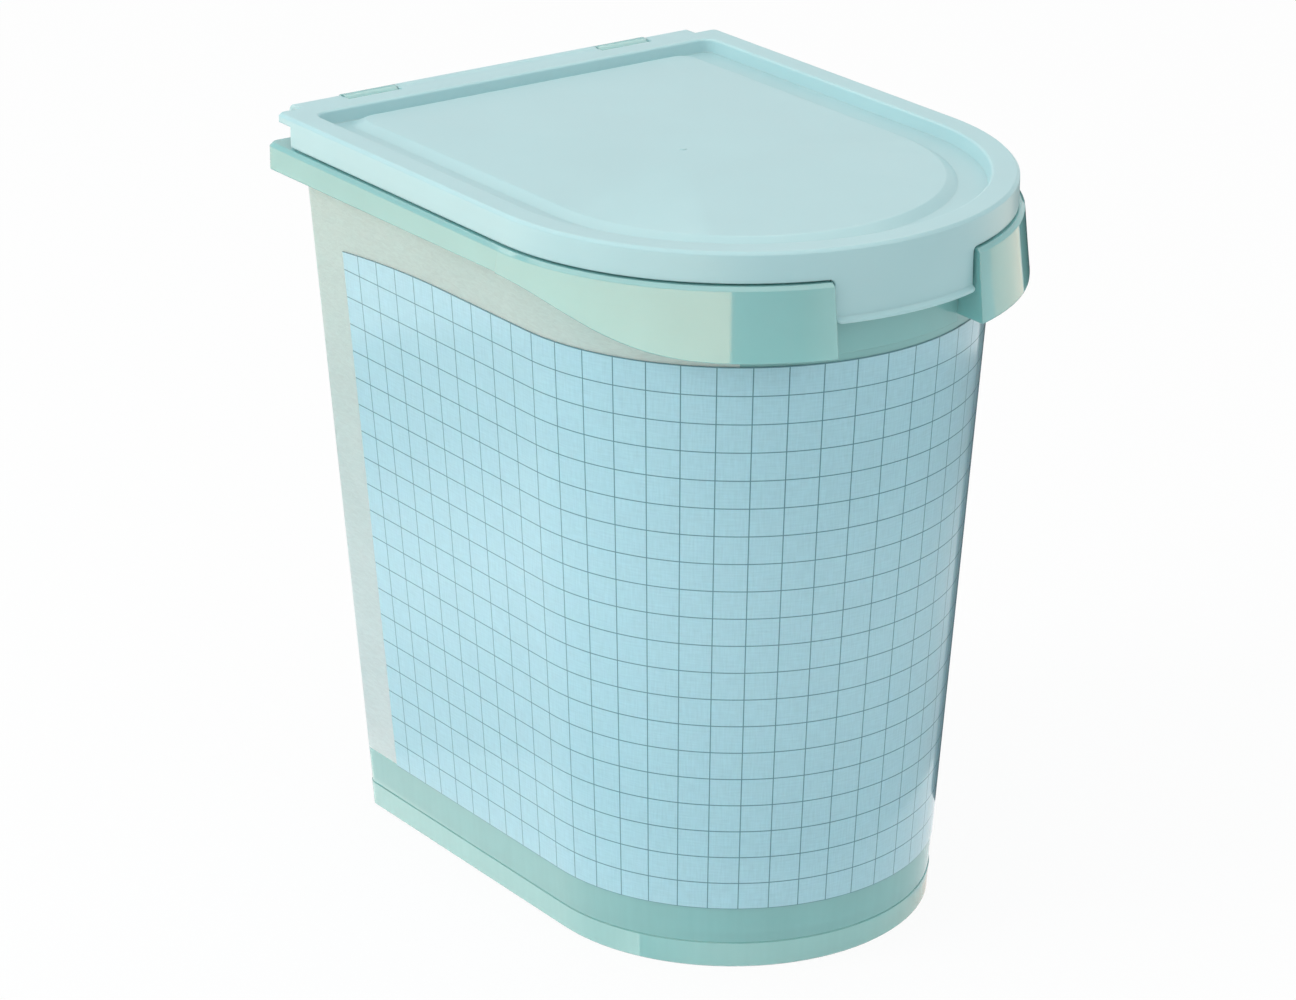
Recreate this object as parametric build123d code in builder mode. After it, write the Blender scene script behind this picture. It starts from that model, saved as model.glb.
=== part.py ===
"""Pet food storage container: a D-shaped moulded tub with a hinged lid.

All sizes are in millimetres. +Z is up, the hinge is at the back (+Y) and the
lid's pull tab is at the front (-Y). The origin lies on the floor, under the
centre of the container's bounding box.

Every horizontal section is the same kind of outline: a straight back, two
straight sides and a half-round front. Its half width is also the radius of
the front, and its back is measured from the centre of that radius.
"""

import math
import os

from build123d import *

# Overall sizes
LID_WIDTH = 220.0
LID_DEPTH = 272.0
HEIGHT = 307.0

# Lid
LID_CORNER = 3.0
LID_SKIRT = 12.0
LID_SKIRT_WALL = 2.0
LID_PLATE = 1.8
RIM_WIDTH = 11.0
RIM_WIDTH_BACK = 10.5
RECESS_DEPTH = 5.5
RECESS_DRAFT = 1.5
RECESS_CORNER = 6.0
MOAT_WIDTH = 11.5
MOAT_WIDTH_BACK = 0.6
PANEL_RISE = 2.6
PANEL_FLANK = 4.5
PANEL_CORNER = 9.0
LEAF_LENGTH = 11.0
LEAF_THICKNESS = 3.6
RIM_CHAMFER = 1.2
RECESS_CHAMFER = 0.6
PANEL_FILLET = 2.0
GATE_RADIUS = 1.4
GATE_HEIGHT = 0.3
GATE_TAPER = 20.0
GATE_FROM_ARC_CENTRE = 35.0

# Pull tab at the front of the lid
TAB_WIDTH = 66.0
TAB_DROP = 17.0
TAB_LIP = 1.8
TAB_LIP_HEIGHT = 2.2
TAB_CORNER = 2.0
TAB_BEAD = 0.9
TAB_BEAD_HEIGHT = 2.4
TAB_BEAD_BELOW_SHELF = 0.6

# Tub
WALL = 2.2
SIDE_DRAFT = 3.86
BACK_DRAFT = 2.53
WALL_CORNER = 7.0
WALL_CORNER_LEAST = 1.0
FLOOR_HEIGHT = 11.0
FLOOR = 2.5
FLOOR_CHAMFER = 4.0
FOOT_PROUD = 0.3
FOOT_WALL = 2.6
FOOT_CHAMFER = 0.6

# Rim of the tub: a shelf with a turned-down collar, and a lip that stands up into the lid
SHELF_GAP = 0.8
SHELF_OVERHANG = 2.4
SHELF_BACK = 4.8
SHELF = 2.5
SHELF_CORNER = 4.5
SHOULDER = 1.5
COLLAR_WALL = 2.0
COLLAR_SIDE_DEPTH = 10.2
COLLAR_BACK_DEPTH = 11.0
COLLAR_FRONT_DEPTH = 28.7
COLLAR_SWEEP = 92.0
COLLAR_SWEEP_EASE = 0.4
COLLAR_FLARE = 2.8
LIP_HEIGHT = 8.6
LIP_WALL = 2.2
LIP_TO_SKIRT = 3.8
LIP_TO_LEAF_EDGE = 0.7
LIP_STEP = 2.5
LIP_CHAMFER = 0.5
WALL_BEHIND_LIP = 0.5
NOTCH_GAP = 1.5
NOTCH_LEDGE_GAP = 1.3
RETURN_WALL = 2.0
PAD_PROUD = 0.8
PAD_BELOW_COLLAR = 3.5

# Seal under the lid's rim
SEAL_GAP = 0.3
SEAL_SIDE = 0.6
SEAL_RIB = 1.0
SEAL_RIB_DEPTH = 1.6

# Hinge
HINGE_BEHIND_LID = 4.5
HINGE_BELOW_TOP = 4.0
BARREL_RADIUS = 4.5
END_BARREL_RADIUS = 4.0
CENTRE_BARREL_HALF = 50.0
LUG_WIDTH = 26.0
LUG_FOOT = 3.5
END_BARREL_WIDTH = 22.5
BARREL_GAP = 0.5
LEAF_TO_LUG = 0.5
PIN_RADIUS = 2.0
PIN_SOCKET = 12.0
PIN_CHAMFER = 0.4
PIN_RUNNING_GAP = 0.08
PIN_FIXED_GAP = 0.03
PIN_END_GAP = 0.5

# Printed film around the wall
WRAP_THICKNESS = 0.25
WRAP_GAP = 0.05
WRAP_BOTTOM = 26.5
WRAP_BELOW_COLLAR = 6.8
WRAP_BACK_MARGIN = 27.4
WRAP_TOP_FALL = 4.2
WRAP_FALL_LENGTH = 75.0

# How far a cutting block runs past what it cuts
CUT_MARGIN = 1.0

# Values worked out from the sizes above
lid_half = LID_WIDTH / 2
lid_back = LID_DEPTH - lid_half
skirt_bottom = HEIGHT - LID_SKIRT
skirt_inner_half = lid_half - LID_SKIRT_WALL
skirt_inner_back = lid_back - LID_SKIRT_WALL
rim_underside = HEIGHT - LID_SKIRT_WALL
moat_floor = HEIGHT - RECESS_DEPTH
lid_underside = moat_floor - LID_PLATE
tab_bottom = skirt_bottom - TAB_DROP

shelf_top = skirt_bottom - SHELF_GAP
shelf_half = lid_half + SHELF_OVERHANG
shelf_back = lid_back + SHELF_BACK
shelf_underside = shelf_top - SHELF
shoulder_bottom = shelf_top - SHOULDER
shoulder_half = shelf_half - SHOULDER
shoulder_back = shelf_back - SHOULDER
collar_bottom = shelf_top - COLLAR_FRONT_DEPTH
collar_bottom_radius = shelf_half + COLLAR_FLARE
lip_half = skirt_inner_half - LIP_TO_SKIRT
lip_back = skirt_inner_back - LIP_TO_LEAF_EDGE
lip_top = shelf_top + LIP_HEIGHT
notch_half = TAB_WIDTH / 2 + NOTCH_GAP
ledge_radius = skirt_inner_half - NOTCH_LEDGE_GAP

hinge_back = lid_back + HINGE_BEHIND_LID
hinge_height = HEIGHT - HINGE_BELOW_TOP
lug_start = CENTRE_BARREL_HALF + BARREL_GAP
lug_end = lug_start + LUG_WIDTH - 2 * BARREL_GAP
end_barrel_start = lug_end + BARREL_GAP
end_barrel_end = end_barrel_start + END_BARREL_WIDTH

# The arc centre's place along Y, which puts the origin under the middle of the box.
# The collar reaches furthest forward at the two ends of its notch.
collar_reach = math.sqrt(collar_bottom_radius**2 - notch_half**2)
front_reach = max(collar_reach, lid_half + TAB_LIP)
back_reach = hinge_back + BARREL_RADIUS
arc_y = (front_reach - back_reach) / 2


def wall_half(z):
    """Half width of the tub's outer wall at height z."""
    top = lip_half - LIP_STEP
    return top - (shelf_top - z) * math.tan(math.radians(SIDE_DRAFT))


def wall_back(z):
    """Distance of the tub's outer back wall from the arc centre at height z."""
    top = lip_back + WALL_BEHIND_LIP
    return top - (shelf_top - z) * math.tan(math.radians(BACK_DRAFT))


def level(z):
    """Horizontal work plane at height z, centred on the front's arc."""
    return Plane((0, arc_y, z))


def side_plane(x):
    """Upright work plane across X: its own axes are the distance behind the arc centre and the height."""
    return Plane((x, arc_y, 0), x_dir=(0, 1, 0), z_dir=(1, 0, 0))


def d_outline(z, half, back, corner):
    """Sketch the container's outline at height z."""
    with BuildSketch(level(z)) as outline:
        with BuildLine():
            Polyline((-half, 0), (-half, back), (half, back), (half, 0))
            ThreePointArc((half, 0), (0, -half), (-half, 0))
        make_face()
        fillet(outline.vertices().group_by(Axis.Y)[-1], corner)
    return outline.sketch


def d_prism(low, high, half, back, corner, mode=Mode.ADD):
    """Upright block on the container's outline, from height low to height high."""
    extrude(d_outline(low, half, back, corner), amount=high - low, mode=mode)


def d_taper(low, low_sizes, high, high_sizes, mode=Mode.ADD):
    """Block whose outline changes evenly from low to high. The sizes are half width, back and corner."""
    loft([d_outline(low, *low_sizes), d_outline(high, *high_sizes)], ruled=True, mode=mode)


def wall_sizes(z, grow):
    """Half width, back and corner of the tub's outer wall at height z, grown by a distance."""
    return (wall_half(z) + grow, wall_back(z) + grow, max(WALL_CORNER + grow, WALL_CORNER_LEAST))


def wall_block(low, high, grow, bevel=0, mode=Mode.ADD):
    """Block that follows the tub's outer wall from low to high, grown by a distance.

    A bevel narrows the block's lowest part inwards by as much as it is high.
    """
    start = low + bevel
    if bevel:
        d_taper(low, wall_sizes(low, grow - bevel), start, wall_sizes(start, grow), mode=mode)
    d_taper(start, wall_sizes(start, grow), high, wall_sizes(high, grow), mode=mode)


def front_plane():
    """Upright work plane through the arc centre: its own axes are the distance to the right, and height."""
    return Plane((0, arc_y, 0), x_dir=(1, 0, 0), z_dir=(0, -1, 0))


def turned_front(*points, mode=Mode.ADD):
    """Turn a closed profile of (radius, height) points half way round, over the front."""
    with BuildSketch(front_plane()) as profile:
        with BuildLine():
            Polyline(*points, close=True)
        make_face()
    revolve(profile.sketch, axis=Axis((0, arc_y, 0), (0, 0, -1)), revolution_arc=180, mode=mode)


def hinge_cylinder(start, end, radius, mode=Mode.SUBTRACT):
    """Round bar or hole along the hinge axis, from x = start to x = end."""
    with BuildSketch(side_plane(start)) as circle:
        with Locations((hinge_back, hinge_height)):
            Circle(radius)
    extrude(circle.sketch, amount=end - start, mode=mode)


def mirrored(start, end):
    """The span from start to end on the right, and the same span on the left."""
    return ((start, end), (-end, -start))


# Hollow inside the tub: drafted walls, a bevelled floor edge and the wider mouth inside the lip
with BuildPart() as cavity:
    wall_block(FLOOR_HEIGHT + FLOOR, shelf_top, -WALL, bevel=FLOOR_CHAMFER)
    mouth_corner = WALL_CORNER - LIP_WALL
    d_prism(shelf_top, lip_top + CUT_MARGIN, lip_half - LIP_WALL, lip_back - LIP_WALL, mouth_corner)

# Space under the shelf, between the wall and the collar, less the two walls that close it at the notch
with BuildPart() as collar_space:
    space_half = shelf_half - COLLAR_WALL
    space_back = shelf_back - COLLAR_WALL
    d_prism(collar_bottom, shelf_underside, space_half, space_back, SHELF_CORNER)
    turned_front(
        (0, collar_bottom),
        (collar_bottom_radius - COLLAR_WALL, collar_bottom),
        (space_half, shelf_underside),
        (0, shelf_underside),
    )
    with BuildSketch(level(collar_bottom)):
        middle = notch_half + RETURN_WALL / 2
        with Locations((-middle, -shelf_half / 2), (middle, -shelf_half / 2)):
            Rectangle(RETURN_WALL, shelf_half)
    extrude(amount=shelf_underside - collar_bottom, mode=Mode.SUBTRACT)

# Shelf and collar: a bevelled shoulder over a collar that is upright at the sides and back, flared
# around the front, with a swept lower edge
with BuildPart() as collar:
    d_prism(collar_bottom, shoulder_bottom, shelf_half, shelf_back, SHELF_CORNER)
    d_taper(
        shoulder_bottom, (shelf_half, shelf_back, SHELF_CORNER),
        shelf_top, (shoulder_half, shoulder_back, SHELF_CORNER - SHOULDER),
    )
    turned_front(
        (0, collar_bottom),
        (collar_bottom_radius, collar_bottom),
        (shelf_half, shoulder_bottom),
        (shoulder_half, shelf_top),
        (0, shelf_top),
    )
    add(collar_space.part, mode=Mode.SUBTRACT)
    with BuildSketch(side_plane(0)):
        with BuildLine():
            far_back = shelf_back + CUT_MARGIN
            below = collar_bottom - CUT_MARGIN
            back_edge = (far_back, shelf_top - COLLAR_BACK_DEPTH)
            side_edge = (0, shelf_top - COLLAR_SIDE_DEPTH)
            front_edge = (-COLLAR_SWEEP, collar_bottom)
            Line(back_edge, side_edge)
            Bezier(
                side_edge,
                (-COLLAR_SWEEP * COLLAR_SWEEP_EASE, side_edge[1]),
                (-COLLAR_SWEEP * (1 - COLLAR_SWEEP_EASE), collar_bottom),
                front_edge,
            )
            Polyline(front_edge, (-COLLAR_SWEEP, below), (far_back, below), back_edge)
        make_face()
    extrude(amount=collar_bottom_radius + CUT_MARGIN, both=True, mode=Mode.SUBTRACT)
    with BuildSketch(level(collar_bottom)):
        with Locations((0, -collar_bottom_radius)):
            Rectangle(2 * notch_half, collar_bottom_radius)
        Circle(ledge_radius, mode=Mode.SUBTRACT)
    extrude(amount=COLLAR_FRONT_DEPTH, mode=Mode.SUBTRACT)

# Thin pad on the wall behind the pull tab, which stiffens the finger recess
with BuildPart() as pad:
    pad_bottom = collar_bottom - PAD_BELOW_COLLAR
    turned_front(
        (wall_half(pad_bottom) - WALL / 2, pad_bottom),
        (wall_half(pad_bottom) + PAD_PROUD, pad_bottom),
        (wall_half(shelf_underside) + PAD_PROUD, shelf_underside),
        (wall_half(shelf_underside) - WALL / 2, shelf_underside),
    )
    with BuildSketch(level(pad_bottom)):
        with Locations((0, -shelf_half / 2)):
            Rectangle(2 * notch_half + RETURN_WALL, shelf_half)
    extrude(amount=shelf_underside - pad_bottom, mode=Mode.INTERSECT)

# Tub: drafted wall, raised floor over a foot ring, shelf, collar, lip and two hinge lugs
with BuildPart() as tub:
    wall_block(0, FLOOR_HEIGHT, FOOT_PROUD, bevel=FOOT_CHAMFER)
    wall_block(FLOOR_HEIGHT, shelf_top, 0)
    add(collar.part)
    add(pad.part)
    d_prism(shelf_underside, lip_top, lip_half, lip_back, WALL_CORNER)
    add(cavity.part, mode=Mode.SUBTRACT)
    chamfer(tub.faces().sort_by(Axis.Z)[-1].edges(), LIP_CHAMFER)
    for start, end in mirrored(lug_start, lug_end):
        with BuildSketch(side_plane(start)):
            with Locations((hinge_back, hinge_height)):
                Circle(BARREL_RADIUS)
            with Locations((shelf_back - LUG_FOOT / 2, shelf_top - LUG_FOOT)):
                Rectangle(LUG_FOOT, 2 * LUG_FOOT)
            make_hull()
        extrude(amount=end - start)
    wall_block(0, FLOOR_HEIGHT, FOOT_PROUD - FOOT_WALL, mode=Mode.SUBTRACT)
    hinge_cylinder(-lug_end, lug_end, PIN_RADIUS + PIN_FIXED_GAP)

# Pull tab: a curved apron below the skirt, with a lip to lift it by and a bead behind its edge
with BuildPart() as tab:
    bead_top = shelf_underside - TAB_BEAD_BELOW_SHELF
    turned_front(
        (skirt_inner_half, tab_bottom),
        (lid_half + TAB_LIP, tab_bottom),
        (lid_half + TAB_LIP, tab_bottom + TAB_LIP_HEIGHT / 2),
        (lid_half, tab_bottom + TAB_LIP_HEIGHT),
        (lid_half, skirt_bottom + TAB_CORNER),
        (skirt_inner_half, skirt_bottom + TAB_CORNER),
        (skirt_inner_half, bead_top),
        (skirt_inner_half - TAB_BEAD, bead_top - TAB_BEAD_HEIGHT / 2),
        (skirt_inner_half, bead_top - TAB_BEAD_HEIGHT),
    )
    with BuildSketch(front_plane()) as apron:
        with Locations((0, tab_bottom + TAB_DROP / 2)):
            Rectangle(TAB_WIDTH, TAB_DROP)
        fillet(apron.vertices().group_by(Axis.Y)[0], TAB_CORNER)
        with Locations((0, skirt_bottom + TAB_CORNER / 2)):
            Rectangle(TAB_WIDTH + 4 * TAB_CORNER, TAB_CORNER)
        fillet(apron.vertices().group_by(Axis.Y)[2].sort_by(Axis.X)[1:3], TAB_CORNER)
    extrude(amount=lid_half + TAB_LIP + CUT_MARGIN, mode=Mode.INTERSECT)

# Lid: rim and skirt, sunken moat, raised panel, pull tab and three hinge barrels
with BuildPart() as lid:
    d_prism(skirt_bottom, HEIGHT, lid_half, lid_back, LID_CORNER)
    chamfer(lid.faces().sort_by(Axis.Z)[-1].edges(), RIM_CHAMFER)
    d_prism(
        skirt_bottom, rim_underside, skirt_inner_half, skirt_inner_back, LID_CORNER - LID_SKIRT_WALL,
        mode=Mode.SUBTRACT,
    )
    with BuildSketch(level(skirt_bottom)):
        with Locations((0, lid_back - LEAF_LENGTH / 2)):
            Rectangle(LID_WIDTH, LEAF_LENGTH)
    extrude(amount=LID_SKIRT - LEAF_THICKNESS, mode=Mode.SUBTRACT)

    # Rib that holds the seal from outside
    seal_half = lip_half + SEAL_SIDE
    seal_back = lip_back + SEAL_SIDE
    rib_bottom = rim_underside - SEAL_RIB_DEPTH
    d_prism(rib_bottom, rim_underside, seal_half + SEAL_RIB, skirt_inner_back, WALL_CORNER)
    d_prism(rib_bottom, rim_underside, seal_half, seal_back, WALL_CORNER, mode=Mode.SUBTRACT)

    # Sunken moat inside the rim
    recess_half = lid_half - RIM_WIDTH
    recess_back = lid_back - RIM_WIDTH_BACK
    floor_half = recess_half - RECESS_DRAFT
    floor_back = recess_back - RECESS_DRAFT
    d_taper(
        lid_underside, (floor_half + LID_PLATE, floor_back + LID_PLATE, RECESS_CORNER),
        rim_underside, (recess_half + LID_PLATE, recess_back + LID_PLATE, RECESS_CORNER + LID_PLATE),
    )
    d_taper(
        moat_floor, (floor_half, floor_back, RECESS_CORNER - RECESS_DRAFT),
        HEIGHT, (recess_half, recess_back, RECESS_CORNER),
        mode=Mode.SUBTRACT,
    )
    chamfer(lid.faces().sort_by(Axis.Z)[-1].inner_wires()[0].edges(), RECESS_CHAMFER)

    # Raised panel with sloping flanks, hollow underneath, and the moulding gate's mark
    panel_half = floor_half - MOAT_WIDTH
    panel_back = floor_back - MOAT_WIDTH_BACK
    panel_top = moat_floor + PANEL_RISE
    d_taper(
        moat_floor, (panel_half, panel_back, PANEL_CORNER),
        panel_top, (panel_half - PANEL_FLANK, panel_back - PANEL_FLANK, PANEL_CORNER - PANEL_FLANK / 2),
    )
    level_faces = lid.faces().filter_by(Plane.XY)
    panel_face = level_faces.sort_by(lambda face: abs(face.center().Z - panel_top))[0]
    fillet(panel_face.edges(), PANEL_FILLET)
    under_half = panel_half - LID_PLATE
    under_back = panel_back - LID_PLATE
    d_taper(
        lid_underside, (under_half, under_back, PANEL_CORNER - LID_PLATE),
        lid_underside + PANEL_RISE,
        (under_half - PANEL_FLANK, under_back - PANEL_FLANK, PANEL_CORNER - LID_PLATE - PANEL_FLANK / 2),
        mode=Mode.SUBTRACT,
    )
    with BuildSketch(level(panel_top)):
        with Locations((0, GATE_FROM_ARC_CENTRE)):
            Circle(GATE_RADIUS)
    extrude(amount=GATE_HEIGHT, taper=GATE_TAPER)

    add(tab.part)

    # Hinge barrels, the room around the tub's lugs, and the holes for the pins
    web_bottom = HEIGHT - LEAF_THICKNESS
    web_length = HINGE_BEHIND_LID + LID_SKIRT_WALL
    barrels = [(-CENTRE_BARREL_HALF, CENTRE_BARREL_HALF, BARREL_RADIUS)]
    barrels += [(*span, END_BARREL_RADIUS) for span in mirrored(end_barrel_start, end_barrel_end)]
    for start, end, radius in barrels:
        with BuildSketch(side_plane(start)):
            with Locations((hinge_back, hinge_height)):
                Circle(radius)
            with Locations((hinge_back - web_length / 2, (web_bottom + HEIGHT) / 2)):
                Rectangle(web_length, LEAF_THICKNESS)
        extrude(amount=end - start)
    for start, end in mirrored(lug_start, lug_end):
        hinge_cylinder(start - BARREL_GAP, end + BARREL_GAP, BARREL_RADIUS + LEAF_TO_LUG)
    for start, end in mirrored(CENTRE_BARREL_HALF - PIN_SOCKET, end_barrel_end):
        hinge_cylinder(start, end, PIN_RADIUS + PIN_RUNNING_GAP)

# Seal: a soft square ring in the channel under the rim, over the tub's lip
with BuildPart() as seal:
    seal_bottom = lip_top + SEAL_GAP
    d_prism(seal_bottom, rim_underside, seal_half, seal_back, WALL_CORNER)
    seal_inside = LIP_WALL + SEAL_SIDE
    d_prism(
        seal_bottom, rim_underside, lip_half - seal_inside, lip_back - seal_inside, mouth_corner,
        mode=Mode.SUBTRACT,
    )

# Hinge pins: one from each end, through the end barrel and the lug into the centre barrel
pin_inner_end = CENTRE_BARREL_HALF - PIN_SOCKET + PIN_END_GAP
with BuildPart() as pin_right:
    hinge_cylinder(pin_inner_end, end_barrel_end, PIN_RADIUS, mode=Mode.ADD)
    chamfer(pin_right.edges().sort_by(Axis.X)[0], PIN_CHAMFER)
with BuildPart() as pin_left:
    hinge_cylinder(-end_barrel_end, -pin_inner_end, PIN_RADIUS, mode=Mode.ADD)
    chamfer(pin_left.edges().sort_by(Axis.X)[-1], PIN_CHAMFER)

# Printed film: wraps the sides and front of the wall and stops short of its back edges
with BuildPart() as wrap:
    wrap_top = collar_bottom - WRAP_BELOW_COLLAR
    wall_block(WRAP_BOTTOM, wrap_top, WRAP_GAP + WRAP_THICKNESS)
    wall_block(WRAP_BOTTOM, wrap_top, WRAP_GAP, mode=Mode.SUBTRACT)
    with BuildSketch(side_plane(0)):
        with BuildLine():
            low_corner = (wall_back(WRAP_BOTTOM) - WRAP_BACK_MARGIN, WRAP_BOTTOM)
            high_corner = (wall_back(wrap_top) - WRAP_BACK_MARGIN, wrap_top - WRAP_TOP_FALL)
            fall_start = (high_corner[0] - WRAP_FALL_LENGTH, wrap_top)
            Line(low_corner, high_corner)
            TangentArc(fall_start, high_corner, tangent=(1, 0))
            Polyline(fall_start, (-LID_WIDTH, wrap_top), (-LID_WIDTH, WRAP_BOTTOM), low_corner)
        make_face()
    extrude(amount=LID_WIDTH, both=True, mode=Mode.INTERSECT)

os.makedirs("parts", exist_ok=True)
pieces = {
    "tub": tub,
    "lid": lid,
    "lid_seal": seal,
    "hinge_pin_left": pin_left,
    "hinge_pin_right": pin_right,
    "printed_wrap": wrap,
}
for name, piece in pieces.items():
    piece.part.label = name
    export_step(piece.part, f"parts/{name}.step")
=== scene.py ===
"""Looks of a moulded pet food storage container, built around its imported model.

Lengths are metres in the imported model's own frame: +Z up, the hinge at the
back (+Y) and the lid's pull tab at the front (-Y). Sizes that a maker would
give in millimetres go through mm().
"""

import logging
import math
from dataclasses import dataclass
from enum import Enum

import bmesh
import bpy
from mathutils import Matrix, Vector


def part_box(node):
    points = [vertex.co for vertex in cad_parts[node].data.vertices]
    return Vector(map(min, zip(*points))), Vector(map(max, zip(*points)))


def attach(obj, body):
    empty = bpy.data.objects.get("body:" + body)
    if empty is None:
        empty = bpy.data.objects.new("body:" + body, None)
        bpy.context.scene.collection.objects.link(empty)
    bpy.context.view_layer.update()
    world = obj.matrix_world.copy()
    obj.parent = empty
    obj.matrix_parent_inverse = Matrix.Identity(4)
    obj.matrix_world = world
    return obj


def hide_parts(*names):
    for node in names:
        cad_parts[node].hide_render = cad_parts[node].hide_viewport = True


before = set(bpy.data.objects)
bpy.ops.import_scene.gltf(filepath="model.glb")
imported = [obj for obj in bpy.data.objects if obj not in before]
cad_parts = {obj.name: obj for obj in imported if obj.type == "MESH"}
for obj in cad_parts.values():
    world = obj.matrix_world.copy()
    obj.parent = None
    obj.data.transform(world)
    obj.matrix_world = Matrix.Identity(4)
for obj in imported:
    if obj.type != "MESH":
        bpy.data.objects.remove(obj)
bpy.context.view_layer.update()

LOG = logging.getLogger("container")
MERGE_DISTANCE = 2e-6

Colour = tuple[float, float, float, float]


class Body(Enum):
    """The two bodies that a piece can ride on."""

    TUB = "tub"
    LID = "lid"


class Slot(Enum):
    """Names of the material slots."""

    TUB = "tub_plastic"
    LID = "lid_plastic"
    SEAL = "seal_elastomer"
    PIN = "pin_plastic"
    FILM = "printed_film"


def mm(length: float) -> float:
    """Return a length given in millimetres in metres."""
    return length / 1000


def linear(hex_colour: str) -> Colour:
    """Turn an sRGB colour into the linear values that shaders take.

    Args:
        hex_colour: The colour as "#RRGGBB".

    Returns:
        Linear red, green and blue with an alpha of 1.
    """
    parts = [int(hex_colour[i:i + 2], 16) / 255 for i in (1, 3, 5)]
    red, green, blue = (p / 12.92 if p <= 0.04045 else ((p + 0.055) / 1.055) ** 2.4 for p in parts)
    return red, green, blue, 1.0


def add_node(tree: bpy.types.NodeTree, kind: str, sockets: dict | None = None, **settings) -> bpy.types.Node:
    """Add a shader node with its settings and links.

    Args:
        tree: The node tree to add to.
        kind: The node's type name, without the leading "ShaderNode".
        sockets: Input name or index to a value, to the output socket that feeds it, or to a node
            whose first output feeds it.
        settings: The node's own properties.

    Returns:
        The new node.
    """
    node = tree.nodes.new("ShaderNode" + kind)
    for name, value in settings.items():
        setattr(node, name, value)
    for name, value in (sockets or {}).items():
        if isinstance(value, bpy.types.Node):
            value = value.outputs[0]
        if isinstance(value, bpy.types.NodeSocket):
            tree.links.new(value, node.inputs[name])
        else:
            node.inputs[name].default_value = value
    return node


def new_material(name: str) -> tuple[bpy.types.Material, bpy.types.NodeTree]:
    """Make an empty node material.

    Args:
        name: The material's name.

    Returns:
        The material and its node tree.
    """
    material = bpy.data.materials.new(name)
    material.use_nodes = True
    material.node_tree.nodes.clear()
    return material, material.node_tree


def backdrop_rays(tree: bpy.types.NodeTree) -> bpy.types.Node:
    """Tell the rays that show the white background: the camera's, mirrored and transmitted ones.

    Args:
        tree: The node tree of the floor or the world.

    Returns:
        The node that holds 1 for such a ray and 0 for any other.
    """
    rays = add_node(tree, "LightPath").outputs
    mirrored = add_node(
        tree, "Math", {0: rays["Is Camera Ray"], 1: rays["Is Glossy Ray"]}, operation="MAXIMUM",
    )
    return add_node(tree, "Math", {0: mirrored, 1: rays["Is Transmission Ray"]}, operation="MAXIMUM")


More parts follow.
